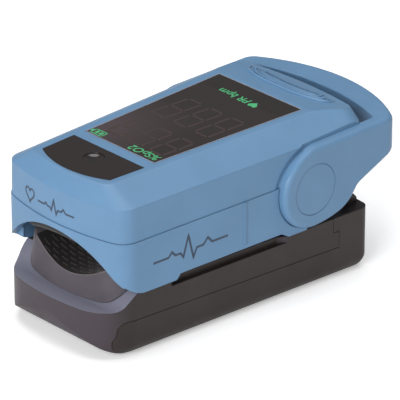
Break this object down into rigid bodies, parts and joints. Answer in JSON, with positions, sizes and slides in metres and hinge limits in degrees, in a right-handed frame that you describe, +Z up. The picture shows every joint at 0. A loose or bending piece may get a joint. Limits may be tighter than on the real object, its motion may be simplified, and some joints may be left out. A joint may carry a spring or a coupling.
{
  "type": "fingertip pulse oximeter",
  "caption": "Clip-on fingertip pulse oximeter: hinged upper jaw with display, button and thumb bow over a lower jaw with battery box and finger trough.",
  "frame": {"origin": "middle of the flat underside of the battery cover", "axes": "+X along the finger from its tip opening to the thumb bow, +Y across the case, +Z up out of the display"},
  "size_m": [0.0709, 0.0366, 0.0313],
  "materials": {
    "case_blue": "fine matte",
    "base_black": "fine matte",
    "window_black": "polished",
    "inlay_black": "polished",
    "silicone_dark": "soft matte",
    "silicone_black": "soft matte",
    "optics_clear": "clear",
    "board_green": "solder mask",
    "chip_black": "moulded",
    "display_grey": "satin",
    "steel": "drawn",
    "nickel": "plated",
    "cell_can": "printed sleeve",
    "flex_amber": "smooth"
  },
  "bodies": {
    "lower_jaw": {"lower_housing": "base_black", "lower_finger_pad": "silicone_dark", "detector_window": "optics_clear", "detector_sensor": "chip_black", "battery_left": "cell_can", "battery_right": "cell_can", "battery_springs": "nickel", "battery_contacts": "nickel", "torsion_spring_left": "steel", "torsion_spring_right": "steel", "flex_cable": "flex_amber"},
    "upper_jaw": {"upper_cover": "case_blue", "middle_frame": "case_blue", "pivot_cap_left": "case_blue", "pivot_cap_right": "case_blue", "display_window": "window_black", "legend_film": "window_black", "display_module": "display_grey", "button_panel": "inlay_black", "switch_body": "chip_black", "main_board": "board_green", "board_chips": "chip_black", "flex_connector": "chip_black", "hinge_pin": "steel", "case_screws": "steel", "upper_finger_pad": "silicone_black", "emitter_window": "optics_clear", "emitter_led": "optics_clear"},
    "power_button": {"power_button": "inlay_black", "switch_plunger": "steel"},
    "battery_door": {"battery_cover": "base_black"}
  },
  "joints": [
    {"name": "jaw_hinge", "type": "hinge", "parent": "lower_jaw", "child": "upper_jaw", "pos_m": [0.0139, 0, 0.0201], "axis": [0, 1, 0], "range_deg": [0, 17], "deforming": ["torsion_spring_left", "torsion_spring_right"]},
    {"name": "button_press", "type": "slide", "parent": "upper_jaw", "child": "power_button", "axis": [0, 0, -1], "range_m": [0, 0.0004]},
    {"name": "battery_door_slide", "type": "slide", "parent": "lower_jaw", "child": "battery_door", "axis": [0.9999, 0, -0.0171], "range_m": [0, 0.062]}
  ]
}
